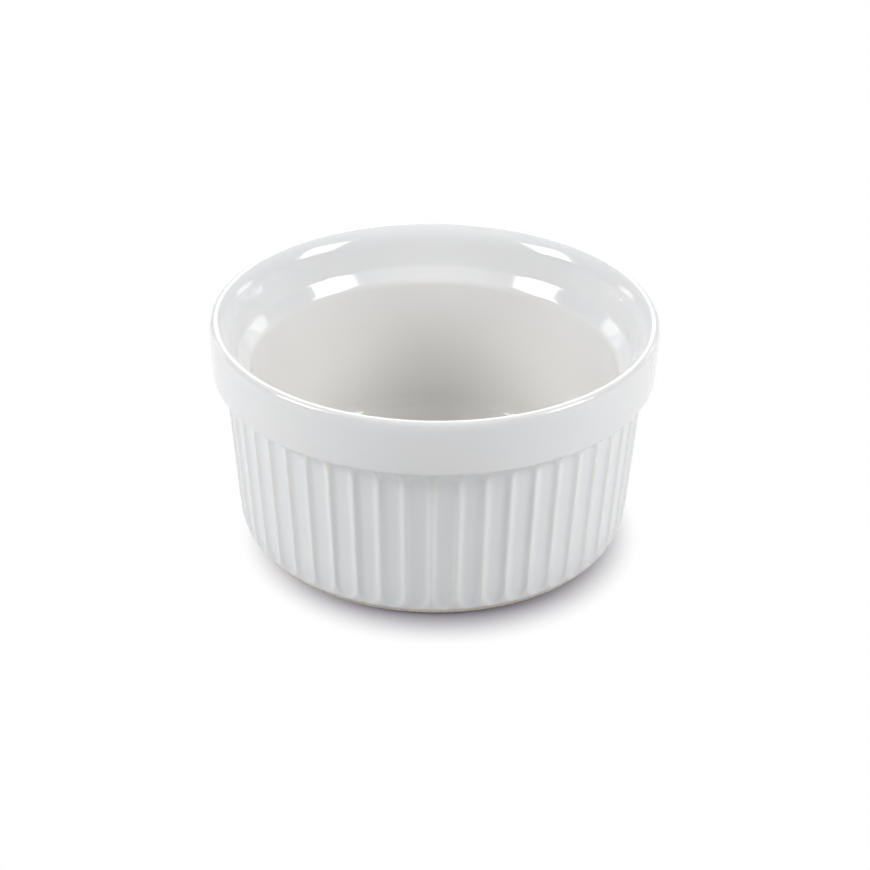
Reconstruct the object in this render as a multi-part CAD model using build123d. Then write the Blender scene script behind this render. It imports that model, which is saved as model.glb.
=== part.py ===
from build123d import *
import os
from math import atan2, cos, degrees, radians, sin, sqrt, tan

os.makedirs("parts", exist_ok=True)

# A glazed stoneware ramekin: a plain collar over a tapered wall of concave flutes, turned about +Z,
# with the origin at the centre of the foot and the front at -Y. Sizes are in millimetres, and are
# those of the finished dish over its glaze unless a comment says otherwise. Leans are in degrees
# from upright.

# Overall form
rim_diameter = 90.0
dish_height = 46.0
foot_diameter = 77.2           # bare clay, where it meets the table
glaze_thickness = 0.35

# Lip: a half-round nose that runs out into the shoulder of the collar, and in to the mouth
lip_set_back = 1.1             # from the widest part of the rim in to the highest ring of the lip
lip_outer_round = 1.0
shoulder_lean = 14.0
lip_inner_round = 1.1
lip_inner_lean = 60.0
mouth_round = 5.5

# Collar: the plain band outside, and the thicker part of the wall behind it
collar_height = 11.6
collar_overhang = 2.6          # from the widest part of the rim in to the top of the wall
collar_draft = 2.0             # degrees, narrowing downwards
collar_corner_round = 1.2
collar_root_round = 0.5        # glaze pooled in the corner under the collar
collar_inside_lean = 14.0

# Ledge inside the collar
ledge_depth = 7.75             # below the lip
ledge_hollow_round = 2.0
ledge_lean = 40.0
ledge_edge_round = 2.5

# Wall and floor
wall_thickness = 5.2
floor_height = 4.2             # eating side of the floor, above the table
cove_round = 4.0

# Foot
base_round_height = 5.2
base_round_draw = 1.15         # how far the round at the base turns in from the taper of the wall
foot_ring_width = 3.4
foot_edge_round = 0.35
recess_depth = 1.0
recess_round = 0.5
bare_foot_height = 1.2         # where the glaze stops above the table

# Flutes
flute_count = 52
flute_depth = 0.55
ridge_width = 0.7              # land left between two flutes at the top of the wall
flute_top_gap = 0.7            # from the underside of the collar down to the crown of each arch
front_ridge_angle = -0.27      # degrees, from the front to the ridge nearest to it

overrun = 0.1                  # how far a cut runs past the surface that it opens

# Radii and heights that follow from these sizes
rim_radius = rim_diameter / 2
foot_radius = foot_diameter / 2
lip_top_radius = rim_radius - lip_set_back
underside_height = dish_height - collar_height
wall_top_radius = rim_radius - collar_overhang

# The outside of the wall is a straight taper. Carried on down to the table, past the round at the
# base, it would stand clear of the foot by the draw of that round. wall_lean is its lean.
taper_foot_radius = foot_radius + glaze_thickness + base_round_draw
wall_lean = degrees(atan2(wall_top_radius - taper_foot_radius, underside_height))
wall_length = (underside_height - base_round_height) / cos(radians(wall_lean))


def sin_of(lean):
    return sin(radians(lean))


def cos_of(lean):
    return cos(radians(lean))


# Outside of the collar: the shoulder's round is the one that reaches the rim's full radius
shoulder_round = (lip_set_back - lip_outer_round * cos_of(shoulder_lean)) / (1 - cos_of(shoulder_lean))
shoulder_low_height = (dish_height - lip_outer_round * (1 - sin_of(shoulder_lean))
                       - shoulder_round * (sin_of(shoulder_lean) + sin_of(collar_draft)))
shoulder_low_radius = rim_radius - shoulder_round * (1 - cos_of(collar_draft))
collar_face_length = (shoulder_low_height - underside_height
                      - collar_corner_round * (1 - sin_of(collar_draft))) / cos_of(collar_draft)
corner_radius = (shoulder_low_radius - collar_face_length * sin_of(collar_draft)
                 - collar_corner_round * cos_of(collar_draft))
root_tangent = collar_root_round * tan(radians((90 - wall_lean) / 2))
underside_length = corner_radius - wall_top_radius - root_tangent

# Inside of the collar, down to the ledge
mouth_radius = (lip_top_radius - lip_inner_round * cos_of(lip_inner_lean)
                - mouth_round * (cos_of(collar_inside_lean) - cos_of(lip_inner_lean)))
mouth_height = (dish_height - lip_inner_round * (1 - sin_of(lip_inner_lean))
                - mouth_round * (sin_of(lip_inner_lean) - sin_of(collar_inside_lean)))
ledge_height = dish_height - ledge_depth
collar_inside_length = (mouth_height - ledge_height) / cos_of(collar_inside_lean)
ledge_radius = mouth_radius - collar_inside_length * sin_of(collar_inside_lean)

# The ledge is a slope between two rounds, as long as it takes to land on the inside of the wall
inside_wall_radius = wall_top_radius - wall_thickness    # at the height of the collar's underside
ledge_round_run = (ledge_hollow_round * (cos_of(collar_inside_lean) - cos_of(ledge_lean))
                   + ledge_edge_round * (cos_of(wall_lean) - cos_of(ledge_lean)))
ledge_round_drop = (ledge_hollow_round * (sin_of(ledge_lean) - sin_of(collar_inside_lean))
                    + ledge_edge_round * (sin_of(ledge_lean) - sin_of(wall_lean)))
taper = tan(radians(wall_lean))
ledge_step = (ledge_radius - inside_wall_radius
              - (ledge_height - ledge_round_drop - underside_height) * taper)
ledge_slope_length = (ledge_step - ledge_round_run) / (sin_of(ledge_lean) - cos_of(ledge_lean) * taper)
ledge_low_height = ledge_height - ledge_round_drop - ledge_slope_length * cos_of(ledge_lean)
cove_top_height = floor_height + cove_round * (1 - sin_of(wall_lean))
inside_wall_length = (ledge_low_height - cove_top_height) / cos_of(wall_lean)


def bend(before, radius, angle):
    """Carries an outline on from its last edge by a tangent arc, clockwise where angle is negative."""
    return JernArc(before @ 1, before % 1, radius, angle)


def straight(before, length):
    """Carries an outline on from its last edge by a tangent line."""
    return Line(before @ 1, before @ 1 + length * (before % 1))


def half_section(coat):
    """The dish's section from the axis out, with every surface drawn in by the coat.

    All rounds keep their centres, so a coat changes their radii and no length or lean.
    """
    lip_top = Vector(lip_top_radius, dish_height - coat)

    nose = JernArc(lip_top, (1, 0), lip_outer_round - coat, shoulder_lean - 90)
    shoulder = bend(nose, shoulder_round - coat, -shoulder_lean - collar_draft)
    collar_face = straight(shoulder, collar_face_length)
    collar_corner = bend(collar_face, collar_corner_round - coat, collar_draft - 90)
    underside = straight(collar_corner, underside_length)
    collar_root = bend(underside, collar_root_round + coat, 90 - wall_lean)
    wall = straight(collar_root, wall_length - root_tangent)
    foot_edge = Vector(foot_radius + glaze_thickness - coat, 0)
    base_round = TangentArc(wall @ 1, foot_edge, tangent=wall % 1)
    outside = [nose, shoulder, collar_face, collar_corner, underside, collar_root, wall, base_round]

    lip_inside = JernArc(lip_top, (-1, 0), lip_inner_round - coat, 90 - lip_inner_lean)
    mouth = bend(lip_inside, mouth_round - coat, lip_inner_lean - collar_inside_lean)
    collar_inside = straight(mouth, collar_inside_length)
    ledge_hollow = bend(collar_inside, ledge_hollow_round + coat, collar_inside_lean - ledge_lean)
    ledge_slope = straight(ledge_hollow, ledge_slope_length)
    ledge_edge = bend(ledge_slope, ledge_edge_round - coat, ledge_lean - wall_lean)
    inside_wall = straight(ledge_edge, inside_wall_length)
    cove = bend(inside_wall, cove_round + coat, wall_lean - 90)
    floor_centre = Vector(0, floor_height - coat)
    floor = Line(cove @ 1, floor_centre)
    inside = [lip_inside, mouth, collar_inside, ledge_hollow, ledge_slope, ledge_edge, inside_wall,
              cove, floor]

    base = [Line(foot_edge, (0, 0)), Line((0, 0), floor_centre)]
    return Plane.XZ * make_face(outside + inside + base)


def turned(section):
    return revolve(section, Axis.Z)


# Each flute is a round groove with a domed top, like the cut of a ball-nosed tool. Its radius is
# that of the arc through two ridges and the floor between them.
flute_pitch = 360 / flute_count
flute_half_angle = (flute_pitch - degrees(ridge_width / wall_top_radius)) / 2
flute_half_chord = wall_top_radius * sin_of(flute_half_angle)
flute_sagitta = flute_depth - wall_top_radius * (1 - cos_of(flute_half_angle))
flute_radius = (flute_half_chord**2 + flute_sagitta**2) / (2 * flute_sagitta)
flute_arch_height = sqrt(2 * flute_radius * flute_depth - flute_depth**2)


def flute_cuts(coat):
    """The flutes as solids to cut away, each no wider than its own share of the wall."""
    up_wall = Vector(sin_of(wall_lean), 0, cos_of(wall_lean))
    out_of_wall = Vector(cos_of(wall_lean), 0, -sin_of(wall_lean))
    wall_top = Vector(wall_top_radius, 0, underside_height)
    dome_centre = (wall_top - (flute_top_gap + flute_arch_height) * up_wall
                   + (flute_radius - flute_depth) * out_of_wall)
    groove = Plane(origin=dome_centre, z_dir=-up_wall) * Cylinder(
        flute_radius + coat, dish_height, align=(Align.CENTER, Align.CENTER, Align.MIN))
    dome = Pos(dome_centre) * Sphere(flute_radius + coat)

    reach_top = wall_top + (overrun - coat) * out_of_wall
    reach_low = reach_top - dish_height * up_wall
    reach_outline = Polyline((0, reach_top.Z), (reach_top.X, reach_top.Z),
                             (reach_low.X, reach_low.Z), (0, reach_low.Z), close=True)
    reach = turned(Plane.XZ * make_face(reach_outline))
    cut = (groove + dome) & reach
    first_flute = front_ridge_angle - 90 + flute_pitch / 2
    return [Rot(0, 0, first_flute + n * flute_pitch) * cut for n in range(flute_count)]


# The shallow recess under the base leaves the foot ring round it
recess = Cylinder(foot_radius - foot_ring_width, recess_depth,
                  align=(Align.CENTER, Align.CENTER, Align.MIN))
recess = fillet(recess.edges().group_by(Axis.Z)[-1], recess_round)

# Fired clay: the whole dish under its glaze, with a bare foot ring
blank = turned(half_section(glaze_thickness)) - recess
blank = fillet(blank.edges().filter_by(GeomType.CIRCLE).group_by(Axis.Z)[0], foot_edge_round)
stoneware_body = blank - flute_cuts(glaze_thickness)

# Glaze fused over everything above the bare foot, inside and out
bare_foot = Cylinder(rim_radius, bare_foot_height, align=(Align.CENTER, Align.CENTER, Align.MIN))
outer_glaze = turned(half_section(0)) - flute_cuts(0) - bare_foot - stoneware_body

# Glaze inside the foot ring, parted from the rest by the bare ring
base_glaze = recess & Pos(0, 0, recess_depth - glaze_thickness) * Cylinder(
    rim_radius, recess_depth, align=(Align.CENTER, Align.CENTER, Align.MIN))

export_step(stoneware_body, "parts/stoneware_body.step")
export_step(outer_glaze, "parts/outer_glaze.step")
export_step(base_glaze, "parts/base_glaze.step")
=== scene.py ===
from collections import namedtuple
from math import acos, asin, atan2, ceil, copysign, cos, hypot, pi, radians, sin, sqrt, tan

import bpy
from mathutils import Matrix, Vector


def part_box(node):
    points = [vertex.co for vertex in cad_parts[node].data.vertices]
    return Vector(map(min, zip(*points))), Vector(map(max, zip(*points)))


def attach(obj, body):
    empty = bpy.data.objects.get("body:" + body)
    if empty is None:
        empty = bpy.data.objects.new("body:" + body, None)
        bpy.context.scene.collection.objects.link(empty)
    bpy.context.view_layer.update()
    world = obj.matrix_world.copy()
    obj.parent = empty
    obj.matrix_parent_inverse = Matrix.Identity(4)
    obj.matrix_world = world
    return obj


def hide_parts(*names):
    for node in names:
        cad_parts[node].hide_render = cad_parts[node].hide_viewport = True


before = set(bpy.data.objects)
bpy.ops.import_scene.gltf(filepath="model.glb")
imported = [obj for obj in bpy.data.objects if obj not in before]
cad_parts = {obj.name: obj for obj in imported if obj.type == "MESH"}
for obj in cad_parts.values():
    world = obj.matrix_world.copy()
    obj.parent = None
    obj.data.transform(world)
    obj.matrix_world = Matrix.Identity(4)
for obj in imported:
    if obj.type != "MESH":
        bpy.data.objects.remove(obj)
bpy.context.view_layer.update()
mm = 0.001


# The clay body: one piece of cream stoneware, pressed into a mould that carries the flutes and
# fired once. Collar, inner ledge, wall, floor and foot ring are all the same piece. Only the foot
# ring stays bare, because glaze there would stick to the kiln shelf.
clay_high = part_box("stoneware_body")[1]
glaze_low, glaze_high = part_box("outer_glaze")
glaze_thickness = glaze_high.z - clay_high.z
dish_height = glaze_high.z
rim_radius = clay_high.x + glaze_thickness
foot_radius = 38.6 * mm

lip_set_back = 1.1 * mm
lip_outer_round = 1 * mm
shoulder_lean = radians(14)
lip_inner_round = 1.1 * mm
lip_inner_lean = radians(60)
mouth_round = 5.5 * mm
collar_height = 11.6 * mm
collar_overhang = 2.6 * mm
collar_draft = radians(2)
collar_corner_round = 1.2 * mm
collar_root_round = 0.5 * mm
collar_inside_lean = radians(14)
ledge_depth = 7.75 * mm
ledge_hollow_round = 2 * mm
ledge_lean = radians(40)
ledge_edge_round = 2.5 * mm
wall_thickness = 5.2 * mm
floor_height = 4.2 * mm
cove_round = 4 * mm
base_round_height = 5.2 * mm
base_round_draw = 1.15 * mm
foot_ring_width = 3.4 * mm
foot_edge_round = 0.35 * mm
recess_depth = 1 * mm
recess_round = 0.5 * mm

flute_count = 52
flute_depth = 0.55 * mm
ridge_width = 0.7 * mm
flute_top_gap = 0.7 * mm
front_ridge_angle = radians(-0.27)
ridge_softness = 0.2 * mm

quarter_turn = pi / 2
lip_top_radius = rim_radius - lip_set_back
underside_height = dish_height - collar_height
wall_top_radius = rim_radius - collar_overhang
taper_foot_radius = foot_radius + glaze_thickness + base_round_draw
wall_lean = atan2(wall_top_radius - taper_foot_radius, underside_height)
wall_length = (underside_height - base_round_height) / cos(wall_lean)


# How closely a surface is meshed: how far a step of a round may stand off it, the largest turn of
# such a step, and the rows over the arch of a flute and over the round at the base.
Grade = namedtuple("Grade", "chord_gap step_turn arch_rows base_rows")
FINE = Grade(0.012 * mm, radians(11), 12, 10)
COARSE = Grade(0.08 * mm, radians(45), 4, 4)


class Outline:
    """A line of the dish's section, walked in straights and tangent rounds from its first point.

    heading is the way the line runs, anticlockwise from straight outwards. Each point is its
    radius, its height, whether flutes are pressed there, and how thin the glaze runs there.
    """

    def __init__(self, radius, height, heading, grade):
        self.heading = heading
        self.grade = grade
        self.points = [(radius, height, 0, 0)]

    def add(self, radius, height, fluted, thin):
        self.points.append((radius, height, fluted, thin))

    def straight(self, length, steps=1, fluted=0, thin=0):
        radius, height = self.points[-1][:2]
        for step in range(1, steps + 1):
            run = length * step / steps
            self.add(radius + run * cos(self.heading), height + run * sin(self.heading), fluted, thin)

    def bend(self, round_radius, angle, fewest_steps=1, fluted=0, thin=0):
        """Turns left by the angle, or right where it is negative."""
        radius, height = self.points[-1][:2]
        gap_turn = 2 * acos(1 - self.grade.chord_gap / round_radius)
        widest_step = min(self.grade.step_turn, gap_turn)
        steps = max(fewest_steps, ceil(abs(angle) / widest_step))
        reach = copysign(round_radius, angle)
        centre_radius = radius - reach * sin(self.heading)
        centre_height = height + reach * cos(self.heading)
        for step in range(1, steps + 1):
            turned = self.heading + angle * step / steps
            self.add(centre_radius + reach * sin(turned), centre_height - reach * cos(turned), fluted, thin)
        self.heading += angle


shoulder_round = (lip_set_back - lip_outer_round * cos(shoulder_lean)) / (1 - cos(shoulder_lean))
shoulder_low_height = (dish_height - lip_outer_round * (1 - sin(shoulder_lean))
                       - shoulder_round * (sin(shoulder_lean) + sin(collar_draft)))
shoulder_low_radius = rim_radius - shoulder_round * (1 - cos(collar_draft))
collar_face_length = (shoulder_low_height - underside_height
                      - collar_corner_round * (1 - sin(collar_draft))) / cos(collar_draft)
corner_radius = (shoulder_low_radius - collar_face_length * sin(collar_draft)
                 - collar_corner_round * cos(collar_draft))
root_tangent = collar_root_round * tan((quarter_turn - wall_lean) / 2)
underside_length = corner_radius - wall_top_radius - root_tangent

flute_pitch = 2 * pi / flute_count
flute_half_angle = (flute_pitch - ridge_width / wall_top_radius) / 2
flute_half_chord = wall_top_radius * sin(flute_half_angle)
flute_sagitta = flute_depth - wall_top_radius * (1 - cos(flute_half_angle))
flute_radius = (flute_half_chord**2 + flute_sagitta**2) / (2 * flute_sagitta)
flute_arch_height = sqrt(2 * flute_radius * flute_depth - flute_depth**2)


def outside_line(coat, grade, stop_height):
    """The outside from the top of the lip down to a stop on the round at the base."""
    line = Outline(lip_top_radius, dish_height - coat, 0, grade)
    line.bend(lip_outer_round - coat, shoulder_lean - quarter_turn, thin=0.8)
    line.bend(shoulder_round - coat, -shoulder_lean - collar_draft)
    line.straight(collar_face_length)
    line.bend(collar_corner_round - coat, collar_draft - quarter_turn, thin=0.6)
    line.straight(underside_length)
    line.bend(collar_root_round + coat, quarter_turn - wall_lean, fluted=1)
    arch_length = flute_top_gap + flute_arch_height
    line.straight(arch_length, grade.arch_rows, fluted=1)
    line.straight(wall_length - root_tangent - arch_length, steps=3, fluted=1)

    wall_radius, wall_height = line.points[-1][:2]
    foot_step = wall_radius - (foot_radius + glaze_thickness - coat)
    chord = hypot(foot_step, wall_height)
    half_turn = asin(foot_step / chord) - wall_lean
    base_round = chord / (2 * sin(half_turn))
    stop_lean = asin((wall_height - stop_height) / base_round + sin(wall_lean))
    line.bend(base_round, wall_lean - stop_lean, grade.base_rows, fluted=1)
    return line


mouth_radius = (lip_top_radius - lip_inner_round * cos(lip_inner_lean)
                - mouth_round * (cos(collar_inside_lean) - cos(lip_inner_lean)))
mouth_height = (dish_height - lip_inner_round * (1 - sin(lip_inner_lean))
                - mouth_round * (sin(lip_inner_lean) - sin(collar_inside_lean)))
ledge_height = dish_height - ledge_depth
collar_inside_length = (mouth_height - ledge_height) / cos(collar_inside_lean)
ledge_radius = mouth_radius - collar_inside_length * sin(collar_inside_lean)
ledge_round_drop = (ledge_hollow_round * (sin(ledge_lean) - sin(collar_inside_lean))
                    + ledge_edge_round * (sin(ledge_lean) - sin(wall_lean)))
ledge_round_run = (ledge_hollow_round * (cos(collar_inside_lean) - cos(ledge_lean))
                   + ledge_edge_round * (cos(wall_lean) - cos(ledge_lean)))
ledge_step = (ledge_radius - wall_top_radius + wall_thickness
              - (ledge_height - ledge_round_drop - underside_height) * tan(wall_lean))
ledge_slope_length = ((ledge_step - ledge_round_run)
                      / (sin(ledge_lean) - cos(ledge_lean) * tan(wall_lean)))
ledge_low_height = ledge_height - ledge_round_drop - ledge_slope_length * cos(ledge_lean)
cove_top_height = floor_height + cove_round * (1 - sin(wall_lean))
inside_wall_length = (ledge_low_height - cove_top_height) / cos(wall_lean)


def inside_line(coat, grade):
    """The inside from the top of the lip down to the middle of the floor."""
    line = Outline(lip_top_radius, dish_height - coat, pi, grade)
    line.bend(lip_inner_round - coat, quarter_turn - lip_inner_lean, thin=0.5)
    line.bend(mouth_round - coat, lip_inner_lean - collar_inside_lean)
    line.straight(collar_inside_length)
    line.bend(ledge_hollow_round + coat, collar_inside_lean - ledge_lean)
    line.straight(ledge_slope_length)
    line.bend(ledge_edge_round - coat, ledge_lean - wall_lean, thin=0.4)
    line.straight(inside_wall_length, steps=3)
    line.bend(cove_round + coat, wall_lean - quarter_turn)
    line.straight(line.points[-1][0], steps=3)
    return line


class Field:
    """A value that varies over the dish in a node tree, so that sums of it read as sums."""

    def __init__(self, nodes, links, socket):
        self.nodes = nodes
        self.links = links
        self.socket = socket

    def math(self, operation, *others):
        node = self.nodes.new("ShaderNodeMath")
        node.operation = operation
        self.links.new(self.socket, node.inputs[0])
        for other, entry in zip(others, node.inputs[1:]):
            if isinstance(other, Field):
                self.links.new(other.socket, entry)
            else:
                entry.default_value = other
        return Field(self.nodes, self.links, node.outputs[0])

    def __add__(self, other):
        return self.math("ADD", other)

    def __sub__(self, other):
        return self.math("SUBTRACT", other)

    def __mul__(self, other):
        return self.math("MULTIPLY", other)

    def __truediv__(self, other):
        return self.math("DIVIDE", other)

    def root(self):
        return self.math("MAXIMUM", 0.0).math("SQRT")


def off_axis(nodes, links, place):
    """How far a place is from the dish's axis."""
    flat_place = nodes.new("ShaderNodeVectorMath")
    flat_place.operation = "MULTIPLY"
    flat_place.inputs[1].default_value = (1, 1, 0)
    links.new(place, flat_place.inputs[0])
    distance = nodes.new("ShaderNodeVectorMath")
    distance.operation = "LENGTH"
    links.new(flat_place.outputs[0], distance.inputs[0])
    return distance.outputs["Value"]


TURNING_INPUTS = [
    ("Columns", "NodeSocketInt"),
    ("Flutes", "NodeSocketInt"),
    ("Flute Depth", "NodeSocketFloat"),
    ("First Ridge Angle", "NodeSocketFloat"),
    ("Groove Radius", "NodeSocketFloat"),
    ("Groove Centre Radius", "NodeSocketFloat"),
    ("Groove Top Height", "NodeSocketFloat"),
    ("Wall Taper", "NodeSocketFloat"),
    ("Ridge Softness", "NodeSocketFloat"),
    ("Material", "NodeSocketMaterial"),
]


def make_turning_tree():
    """A tree that turns a section about the dish's axis and presses the flutes into its wall.

    Columns stand closer together on the ridges. Each flute is a round groove, leaning with the
    wall, that ends in a dome at its top. Its floor is then pressed a little flatter, so that it
    comes up steeply to soft-topped ridges.
    """
    tree = bpy.data.node_groups.new("turned_and_fluted", "GeometryNodeTree")
    tree.interface.new_socket("Section", in_out="INPUT", socket_type="NodeSocketGeometry")
    for name, kind in TURNING_INPUTS:
        tree.interface.new_socket(name, in_out="INPUT", socket_type=kind)
    tree.interface.new_socket("Dish", in_out="OUTPUT", socket_type="NodeSocketGeometry")
    nodes, links = tree.nodes, tree.links
    given = nodes.new("NodeGroupInput")

    def size(name):
        return Field(nodes, links, given.outputs[name])

    points = nodes.new("GeometryNodeAttributeDomainSize")
    points.component = "MESH"
    links.new(given.outputs["Section"], points.inputs["Geometry"])
    row_count = Field(nodes, links, points.outputs["Point Count"])

    grid = nodes.new("GeometryNodeMeshGrid")
    grid.inputs["Size X"].default_value = 1
    grid.inputs["Size Y"].default_value = 1
    links.new((size("Columns") + 1).socket, grid.inputs["Vertices X"])
    links.new(row_count.socket, grid.inputs["Vertices Y"])
    place = nodes.new("ShaderNodeSeparateXYZ")
    position = nodes.new("GeometryNodeInputPosition")
    links.new(position.outputs[0], place.inputs[0])
    around_share = Field(nodes, links, place.outputs["X"]) + 0.5
    row = ((Field(nodes, links, place.outputs["Y"]) + 0.5) * (row_count - 1)).math("ROUND")

    def of_section(kind, source):
        sample = nodes.new("GeometryNodeSampleIndex")
        sample.data_type = kind
        sample.domain = "POINT"
        links.new(given.outputs["Section"], sample.inputs["Geometry"])
        links.new(source.outputs[0], sample.inputs["Value"])
        links.new(row.socket, sample.inputs["Index"])
        return sample.outputs["Value"]

    def of_line(name):
        named = nodes.new("GeometryNodeInputNamedAttribute")
        named.data_type = "FLOAT"
        named.inputs["Name"].default_value = name
        return Field(nodes, links, of_section("FLOAT", named))

    section_place = nodes.new("ShaderNodeSeparateXYZ")
    links.new(of_section("FLOAT_VECTOR", position), section_place.inputs[0])
    turned_radius = Field(nodes, links, section_place.outputs["X"])
    height = Field(nodes, links, section_place.outputs["Z"])

    crowding = 0.3    # the spacing of columns on a ridge, as a share of an even one
    flute_turn = around_share * size("Flutes")
    flute_index = flute_turn.math("FLOOR")
    across = flute_turn - flute_index
    from_ridge = (across - 0.5).math("ABSOLUTE") * -1 + 0.5
    from_ridge = from_ridge * (from_ridge * (2 * (1 - crowding)) + crowding)
    from_middle = (across - 0.5).math("SIGN") * (from_ridge * -1 + 0.5)
    pitch = size("Flutes").math("POWER", -1.0) * (2 * pi)
    off_middle = from_middle * pitch
    angle = (flute_index + 0.5) * pitch + off_middle + size("First Ridge Angle")

    groove_radius = size("Groove Radius") + of_line("coat")
    above_top = (height - size("Groove Top Height")).math("MAXIMUM", 0.0)
    below_top = (size("Groove Top Height") - height).math("MAXIMUM", 0.0)
    groove_centre = size("Groove Centre Radius") - below_top * size("Wall Taper")
    groove_reach = (groove_radius * groove_radius - above_top * above_top).root()
    side_step = groove_centre * off_middle.math("SINE")
    groove_depth = (groove_reach * groove_reach - side_step * side_step).root()
    groove_floor = groove_centre * off_middle.math("COSINE") - groove_depth
    pressed = turned_radius.math("SMOOTH_MIN", groove_floor, size("Ridge Softness"))
    on_wall = of_line("fluted")
    shallow = (turned_radius - pressed) * on_wall / size("Flute Depth") * -1 + 1
    pooled = shallow * shallow * -1 + 1
    radius = turned_radius - pooled * size("Flute Depth")

    joined = nodes.new("ShaderNodeCombineXYZ")
    links.new((radius * angle.math("COSINE")).socket, joined.inputs["X"])
    links.new((radius * angle.math("SINE")).socket, joined.inputs["Y"])
    links.new(height.socket, joined.inputs["Z"])

    def store(geometry, name, value):
        stored = nodes.new("GeometryNodeStoreNamedAttribute")
        stored.data_type = "FLOAT"
        stored.domain = "POINT"
        stored.inputs["Name"].default_value = name
        links.new(geometry, stored.inputs["Geometry"])
        links.new(value.socket, stored.inputs["Value"])
        return stored.outputs["Geometry"]

    turned = store(grid.outputs["Mesh"], "pooled", pooled)
    turned = store(turned, "thin", of_line("thin").math("MAXIMUM", on_wall * shallow * shallow))

    moved = nodes.new("GeometryNodeSetPosition")
    links.new(turned, moved.inputs["Geometry"])
    links.new(joined.outputs[0], moved.inputs["Position"])
    same_place = 0.001 * mm
    from_axis = Field(nodes, links, off_axis(nodes, links, position.outputs[0]))
    opened = nodes.new("GeometryNodeDeleteGeometry")
    opened.domain = "FACE"
    links.new(moved.outputs["Geometry"], opened.inputs["Geometry"])
    links.new(from_axis.math("LESS_THAN", same_place).socket, opened.inputs["Selection"])
    closed = nodes.new("GeometryNodeMergeByDistance")
    closed.inputs["Distance"].default_value = same_place
    links.new(opened.outputs["Geometry"], closed.inputs["Geometry"])
    smooth = nodes.new("GeometryNodeSetShadeSmooth")
    links.new(closed.outputs["Geometry"], smooth.inputs["Geometry"])
    real = nodes.new("GeometryNodeRealizeInstances")
    links.new(smooth.outputs["Geometry"], real.inputs["Geometry"])
    painted = nodes.new("GeometryNodeSetMaterial")
    links.new(real.outputs["Geometry"], painted.inputs["Geometry"])
    links.new(given.outputs["Material"], painted.inputs["Material"])
    result = nodes.new("NodeGroupOutput")
    links.new(painted.outputs["Geometry"], result.inputs["Dish"])
    return tree


turning_tree = make_turning_tree()


def turned_piece(name, lines, columns, material):
    """Turns a closed section, given as (points, coat) stretches in order, into a closed mesh."""
    section = bpy.data.meshes.new(name + "_section")
    rows = [point + (coat,) for points, coat in lines for point in points]
    rows.append(rows[0])
    places = [(radius, 0, height) for radius, height, *_ in rows]
    section.from_pydata(places, [(n, n + 1) for n in range(len(rows) - 1)], [])
    for column, attribute_name in enumerate(["fluted", "thin", "coat"], start=2):
        attribute = section.attributes.new(attribute_name, "FLOAT", "POINT")
        attribute.data.foreach_set("value", [row[column] for row in rows])

    pattern = bpy.data.objects.new(name + "_pattern", section)
    bpy.context.scene.collection.objects.link(pattern)
    turning = pattern.modifiers.new("turning", "NODES")
    turning.node_group = turning_tree
    dome_drop = flute_top_gap + flute_arch_height
    dome_reach = flute_radius - flute_depth
    sizes = {
        "Columns": columns,
        "Flutes": flute_count,
        "Flute Depth": flute_depth,
        "First Ridge Angle": front_ridge_angle - quarter_turn,
        "Groove Radius": flute_radius,
        "Groove Centre Radius": (wall_top_radius - dome_drop * sin(wall_lean)
                                 + dome_reach * cos(wall_lean)),
        "Groove Top Height": (underside_height - dome_drop * cos(wall_lean)
                              - dome_reach * sin(wall_lean)),
        "Wall Taper": tan(wall_lean),
        "Ridge Softness": ridge_softness,
        "Material": material,
    }
    for item in turning_tree.interface.items_tree:
        if item.in_out == "INPUT" and item.name in sizes:
            turning[item.identifier] = sizes[item.name]

    graph = bpy.context.evaluated_depsgraph_get()
    mesh = bpy.data.meshes.new_from_object(pattern.evaluated_get(graph))
    mesh.name = name
    bpy.data.objects.remove(pattern)
    bpy.data.meshes.remove(section)
    piece = bpy.data.objects.new(name, mesh)
    bpy.context.scene.collection.objects.link(piece)
    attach(piece, "root")
    return piece


class Finish:
    """A procedural material and short ways to add its nodes."""

    def __init__(self, name):
        self.material = bpy.data.materials.new(name)
        self.material.use_nodes = True
        self.nodes = self.material.node_tree.nodes
        self.links = self.material.node_tree.links
        self.shader = self.nodes["Principled BSDF"]
        self.coordinates = self.nodes.new("ShaderNodeTexCoord")

    def noise(self, scale, detail=2, roughness=0.5):
        node = self.nodes.new("ShaderNodeTexNoise")
        node.inputs["Scale"].default_value = scale
        node.inputs["Detail"].default_value = detail
        node.inputs["Roughness"].default_value = roughness
        self.links.new(self.coordinates.outputs["Object"], node.inputs["Vector"])
        return node.outputs["Fac"]

    def attribute(self, name):
        node = self.nodes.new("ShaderNodeAttribute")
        node.attribute_name = name
        return node.outputs["Fac"]

    def fade(self, value, low, high, to_low=0.0, to_high=1.0):
        node = self.nodes.new("ShaderNodeMapRange")
        node.interpolation_type = "SMOOTHSTEP"
        self.links.new(value, node.inputs["Value"])
        for entry, number in zip(node.inputs[1:5], (low, high, to_low, to_high)):
            entry.default_value = number
        return node.outputs["Result"]

    def mix(self, share, first, second):
        node = self.nodes.new("ShaderNodeMix")
        node.data_type = "RGBA"
        for entry, value in ((node.inputs[0], share), (node.inputs[6], first), (node.inputs[7], second)):
            if isinstance(value, tuple):
                entry.default_value = value
            else:
                self.links.new(value, entry)
        return node.outputs[2]

    def bump(self, height, distance, strength=1.0, under=None):
        node = self.nodes.new("ShaderNodeBump")
        node.inputs["Strength"].default_value = strength
        node.inputs["Distance"].default_value = distance
        self.links.new(height, node.inputs["Height"])
        if under is not None:
            self.links.new(under, node.inputs["Normal"])
        return node.outputs["Normal"]


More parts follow.
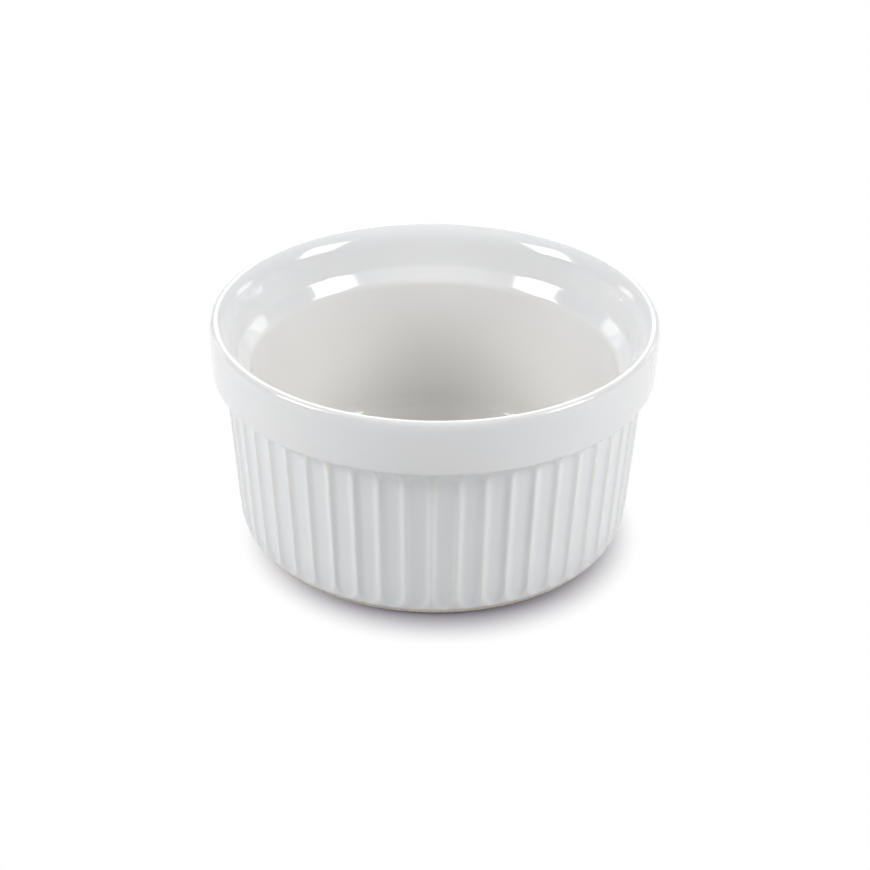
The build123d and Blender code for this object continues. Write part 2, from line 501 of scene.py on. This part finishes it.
def bare_stoneware():
    """Fired clay: cream, matt, with a sandy grain and a few darker specks."""
    finish = Finish("bare_stoneware")
    fired_clay = (0.70, 0.64, 0.56, 1)
    paler_clay = (0.76, 0.70, 0.62, 1)
    dark_speck = (0.36, 0.27, 0.19, 1)
    patches = finish.fade(finish.noise(scale=90, detail=3), 0.3, 0.7)
    body = finish.mix(patches, fired_clay, paler_clay)
    specks = finish.fade(finish.noise(scale=2600, detail=1), 0.66, 0.74)
    body = finish.mix(specks, body, dark_speck)
    finish.links.new(body, finish.shader.inputs["Base Color"])
    finish.shader.inputs["Roughness"].default_value = 0.85
    finish.shader.inputs["Specular IOR Level"].default_value = 0.3
    grain = finish.bump(finish.noise(scale=3200, detail=3, roughness=0.6), 0.06 * mm)
    finish.links.new(grain, finish.shader.inputs["Normal"])
    return finish.material


clay_columns = flute_count * 8


def underside_line():
    """The clay underneath, from the middle of the floor out over the foot ring to its edge."""
    ring_inner_radius = foot_radius - foot_ring_width
    edge_turn = pi + outside_line(glaze_thickness, FINE, 0).heading
    edge_tangent = foot_edge_round * tan(edge_turn / 2)
    line = Outline(0, recess_depth, 0, FINE)
    line.straight(ring_inner_radius - recess_round, steps=2)
    line.bend(recess_round, -quarter_turn)
    line.straight(recess_depth - recess_round - foot_edge_round)
    line.bend(foot_edge_round, quarter_turn)
    line.straight(foot_ring_width - foot_edge_round - edge_tangent, steps=2)
    line.bend(foot_edge_round, edge_turn)
    return line


clay_underside = underside_line()
foot_edge_height = clay_underside.points[-1][1]
clay_outside = outside_line(glaze_thickness, COARSE, foot_edge_height)
clay_inside = inside_line(glaze_thickness, COARSE)
clay_body = turned_piece(
    "clay_body",
    [
        (clay_outside.points[::-1], glaze_thickness),
        (clay_inside.points[1:], glaze_thickness),
        (clay_underside.points[:-1], 0),
    ],
    clay_columns,
    bare_stoneware(),
)
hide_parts("stoneware_body")


# The outer glaze: a white glass about a third of a millimetre thick, dipped on and fused over all
# of the clay above the foot, inside and out. It pools a little in the flutes, runs thin on their
# ridges and on the lip, and ends in a rolled edge just above the table.
glaze_columns = flute_count * 12
glaze_edge_height = glaze_low.z
# Inside these radii the glaze gets a painted warm tint that stands in for light bounced between the bowl's
# walls.
bounce_tint_within = 35 * mm
bounce_tint_up_to = 38.2 * mm


def white_glaze():
    """Glossy white glaze: cool where it is thick, creamier where it is thin, and with a painted warm tint
    in the bowl for the light bounced between its walls.
    """
    finish = Finish("white_glaze")
    cool_white = (0.80, 0.805, 0.81, 1)
    plain_white = (0.80, 0.798, 0.792, 1)
    painted_bounce_white = (0.80, 0.785, 0.755, 1)
    thick_white = (0.775, 0.79, 0.80, 1)
    cream_white = (0.79, 0.775, 0.745, 1)
    drift = finish.fade(finish.noise(scale=45), 0.35, 0.65)
    body = finish.mix(drift, cool_white, plain_white)
    from_axis = off_axis(finish.nodes, finish.links, finish.coordinates.outputs["Object"])
    # Painted bounce light: a warmer white inside the bowl, fading out towards the lip.
    bowl = finish.fade(from_axis, bounce_tint_within, bounce_tint_up_to, 1.0, 0.0)
    body = finish.mix(bowl, body, painted_bounce_white)
    pooled = finish.fade(finish.attribute("pooled"), 0.3, 1.0, 0.0, 0.6)
    body = finish.mix(pooled, body, thick_white)
    thin = finish.fade(finish.attribute("thin"), 0.4, 1.0, 0.0, 0.5)
    body = finish.mix(thin, body, cream_white)
    finish.links.new(body, finish.shader.inputs["Base Color"])
    finish.shader.inputs["Roughness"].default_value = 0.1
    finish.shader.inputs["IOR"].default_value = 1.6
    waves = finish.bump(finish.noise(scale=160), 0.05 * mm, strength=0.5)
    peel = finish.bump(finish.noise(scale=900), 0.004 * mm, strength=0.5, under=waves)
    finish.links.new(peel, finish.shader.inputs["Normal"])
    return finish.material


white_glaze_material = white_glaze()
edge_roll = 0.9 * glaze_thickness
glaze_outside = outside_line(0, FINE, glaze_edge_height + edge_roll)
glaze_outside.bend(edge_roll, -quarter_turn, fluted=1)
glaze_inside = inside_line(0, FINE)
glaze_back_inside = inside_line(glaze_thickness, COARSE)
glaze_back_outside = outside_line(glaze_thickness, COARSE, glaze_edge_height)
outer_glaze = turned_piece(
    "glaze_coat",
    [
        (glaze_outside.points[::-1], 0),
        (glaze_inside.points[1:], 0),
        (glaze_back_inside.points[::-1], glaze_thickness),
        (glaze_back_outside.points[1:], glaze_thickness),
    ],
    glaze_columns,
    white_glaze_material,
)
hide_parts("outer_glaze")


# The glaze under the base: a shallow pool of the same white glass inside the foot ring, with a
# rounded edge where it meets the side of the recess.
base_low, base_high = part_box("base_glaze")
base_columns = flute_count * 6
base_edge_turn = radians(45)


def base_line():
    """Half of the pool's section, from the middle of its back over its edge to its face."""
    pool_depth = base_high.z - base_low.z
    edge_roll = (pool_depth - recess_round * (1 - cos(base_edge_turn))) / (1 + cos(base_edge_turn))
    line = Outline(0, base_high.z, 0, FINE)
    line.straight(foot_radius - foot_ring_width - recess_round, steps=2)
    line.bend(recess_round, -base_edge_turn)
    line.bend(edge_roll, base_edge_turn - pi)
    line.straight(line.points[-1][0], steps=2)
    return line


base_pool = turned_piece("base_pool", [(base_line().points[::-1], 0)], base_columns,
                         white_glaze_material)
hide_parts("base_glaze")


# The table: a plain white studio sweep. It is pure white to look at, apart from a soft shadow close round
# the dish that is partly cast by the lamps and partly painted, and only pale grey as a source of light for
# the underside of things.
table_half_width = 2.0
# How far the painted shadow reaches, the point ahead of the dish it is centred on, and where the paper
# turns fully white.
shadow_reach = 14 * mm
shadow_middle = Vector((1.5 * mm, -8 * mm, 0))
white_from = 29 * mm
white_beyond = 42 * mm


def looked_at(nodes, links):
    """One where a ray comes from the camera, straight, through glass or by way of a gloss."""
    path = nodes.new("ShaderNodeLightPath")
    seen = path.outputs["Is Camera Ray"]
    for ray in ("Is Glossy Ray", "Is Transmission Ray"):
        either = nodes.new("ShaderNodeMath")
        either.operation = "MAXIMUM"
        links.new(seen, either.inputs[0])
        links.new(path.outputs[ray], either.inputs[1])
        seen = either.outputs[0]
    return seen


def studio_white():
    """White paper with a violet-grey shadow, partly cast by the lamps and partly painted, where the dish
    stands close over it.
    """
    painted_close_shadow = (0.21, 0.19, 0.235, 1)
    painted_open_shadow = (0.34, 0.32, 0.35, 1)
    pale_grey = (0.7, 0.7, 0.7, 1)
    finish = Finish("studio_white")
    finish.nodes.remove(finish.shader)
    seen = looked_at(finish.nodes, finish.links)
    # Painted shadow: where the dish closes over the paper, its looked-at colour is darkened to violet-grey.
    closeness = finish.nodes.new("ShaderNodeAmbientOcclusion")
    closeness.samples = 8
    closeness.inputs["Distance"].default_value = shadow_reach
    open_sky = finish.fade(closeness.outputs["AO"], 0.3, 1.0)
    painted_shadow_colour = finish.mix(open_sky, painted_close_shadow, painted_open_shadow)
    paper = finish.nodes.new("ShaderNodeBsdfDiffuse")
    finish.links.new(finish.mix(seen, pale_grey, painted_shadow_colour), paper.inputs["Color"])
    from_dish = finish.nodes.new("ShaderNodeVectorMath")
    from_dish.operation = "DISTANCE"
    from_dish.inputs[1].default_value = shadow_middle
    finish.links.new(finish.coordinates.outputs["Object"], from_dish.inputs[0])
    whiteness = finish.nodes.new("ShaderNodeMath")
    whiteness.operation = "MULTIPLY"
    finish.links.new(finish.fade(from_dish.outputs["Value"], white_from, white_beyond),
                     whiteness.inputs[0])
    finish.links.new(seen, whiteness.inputs[1])
    glow = finish.nodes.new("ShaderNodeEmission")
    either = finish.nodes.new("ShaderNodeMixShader")
    finish.links.new(whiteness.outputs[0], either.inputs[0])
    finish.links.new(paper.outputs[0], either.inputs[1])
    finish.links.new(glow.outputs[0], either.inputs[2])
    finish.links.new(either.outputs[0], finish.nodes["Material Output"].inputs["Surface"])
    return finish.material


table_mesh = bpy.data.meshes.new("table")
table_corners = [(-1, -1), (1, -1), (1, 1), (-1, 1)]
table_mesh.from_pydata([(x * table_half_width, y * table_half_width, 0) for x, y in table_corners],
                       [], [(0, 1, 2, 3)])
table_mesh.materials.append(studio_white())
table = bpy.data.objects.new("table", table_mesh)
bpy.context.scene.collection.objects.link(table)


# The light: a softbox on each side of the dish, a small window far off to each side behind it,
# pale panels before, behind and over it, and a dim room round them.
def softbox(name, azimuth, elevation, distance, width, height, power):
    """A soft light aimed at the dish, from an azimuth and an elevation in degrees."""
    data = bpy.data.lights.new(name, "AREA")
    data.shape = "RECTANGLE"
    data.size = width
    data.size_y = height
    data.energy = power
    lamp = bpy.data.objects.new(name, data)
    bpy.context.scene.collection.objects.link(lamp)
    turn, rise = radians(azimuth), radians(elevation)
    away = Vector((cos(turn) * cos(rise), sin(turn) * cos(rise), sin(rise)))
    lamp.location = away * distance
    lamp.rotation_euler = away.to_track_quat("Z", "Y").to_euler()


softbox("right_softbox", azimuth=-16.5, elevation=36, distance=0.95, width=0.36, height=0.39, power=4.5)
softbox("left_softbox", azimuth=196.5, elevation=36, distance=0.95, width=0.36, height=0.39, power=4.5)
softbox("front_panel", azimuth=-90, elevation=20, distance=1.5, width=3.0, height=0.5, power=1.2)
softbox("back_panel", azimuth=90, elevation=35, distance=1.2, width=0.6, height=1.0, power=5.2)
softbox("top_panel", azimuth=90, elevation=89, distance=1.0, width=0.9, height=0.9, power=0.8)
softbox("right_window", azimuth=41, elevation=18, distance=0.95, width=0.22, height=0.18, power=0.3)
softbox("left_window", azimuth=139, elevation=18, distance=0.95, width=0.22, height=0.18, power=0.3)

# The room, as it is looked at: white level with the dish, and greyer from some way up.
level_strength = 1.0
upper_strength = 0.45
upper_from = 0.25
room = bpy.data.worlds.new("pale_room")
bpy.context.scene.world = room
room.use_nodes = True
room_nodes, room_links = room.node_tree.nodes, room.node_tree.links
room_light = room_nodes["Background"]
room_light.inputs["Color"].default_value = (0.93, 0.95, 1.0, 1)
room_light.inputs["Strength"].default_value = 0.29
room_seen = room_nodes.new("ShaderNodeBackground")
room_place = room_nodes.new("ShaderNodeTexCoord")
room_height = room_nodes.new("ShaderNodeSeparateXYZ")
room_links.new(room_place.outputs["Generated"], room_height.inputs[0])
room_fade = room_nodes.new("ShaderNodeMapRange")
room_links.new(room_height.outputs["Z"], room_fade.inputs["Value"])
room_fade.inputs["From Max"].default_value = upper_from
room_fade.inputs["To Min"].default_value = level_strength
room_fade.inputs["To Max"].default_value = upper_strength
room_links.new(room_fade.outputs["Result"], room_seen.inputs["Strength"])
room_choice = room_nodes.new("ShaderNodeMixShader")
room_links.new(looked_at(room_nodes, room_links), room_choice.inputs[0])
room_links.new(room_light.outputs[0], room_choice.inputs[1])
room_links.new(room_seen.outputs[0], room_choice.inputs[2])
room_links.new(room_choice.outputs[0], room_nodes["World Output"].inputs["Surface"])


# The camera: the photograph's view, from the front and 30 degrees up.
camera_distance = 405 * mm
camera_elevation = radians(30.13)
camera_roll = radians(0.60)
camera_aim = Vector((0.27 * mm, 0, 17.7 * mm))
camera_data = bpy.data.cameras.new("camera")
camera_data.sensor_width = 36
camera_data.lens = 80.8
camera_data.clip_start = 0.01
camera = bpy.data.objects.new("camera", camera_data)
bpy.context.scene.collection.objects.link(camera)
camera_away = Vector((0, -cos(camera_elevation), sin(camera_elevation)))
camera.matrix_world = (Matrix.Translation(camera_aim + camera_away * camera_distance)
                       @ camera_away.to_track_quat("Z", "Y").to_matrix().to_4x4()
                       @ Matrix.Rotation(camera_roll, 4, "Z"))
bpy.context.scene.camera = camera
bpy.context.scene.view_settings.view_transform = "Standard"
